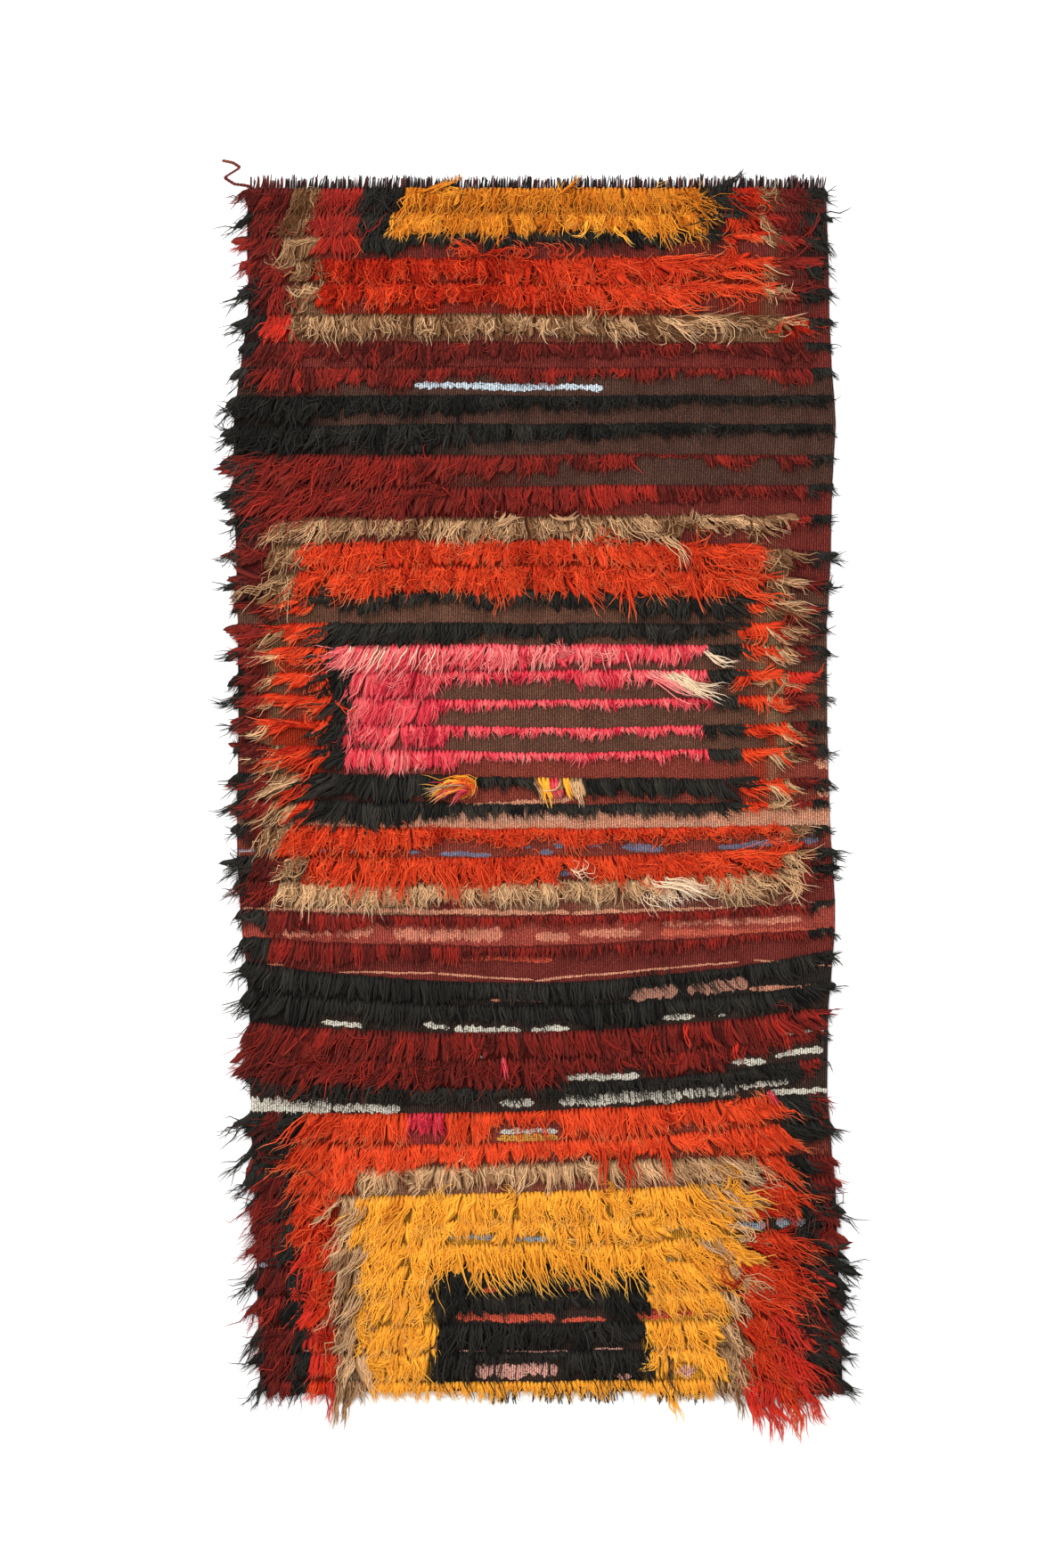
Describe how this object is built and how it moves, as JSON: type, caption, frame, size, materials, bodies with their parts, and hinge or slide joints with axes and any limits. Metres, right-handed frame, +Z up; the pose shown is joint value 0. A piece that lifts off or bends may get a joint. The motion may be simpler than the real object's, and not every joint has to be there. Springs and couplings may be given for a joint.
{
  "type": "long-pile wool rug on a flat-woven ground",
  "caption": "Rectangular hand-woven wool rug lying flat, with rows of long knotted pile on a flat-woven ground, locks over its rim and short warp ends.",
  "frame": {"origin": "middle of the flat underside, on the floor", "axes": "+X across the rug, +Y along the rug towards the end with the long warp ends, +Z up out of the pile"},
  "size_m": [1.0932, 2.1519, 0.0218],
  "materials": {
    "pile_wool": "soft hand-spun wool pile in orange-red, gold, black, maroon, pink and camel, matt with a slight sheen along the tufts",
    "warp_yarn": "matt two-ply wool yarn, dark brown",
    "ground_weave": "matt ribbed flat weave in brown, maroon, tan and cream bands"
  },
  "bodies": {
    "root": {"rug_body": "pile_wool", "warp_fringe_top": "warp_yarn", "warp_fringe_bottom": "warp_yarn"}
  },
  "joints": []
}
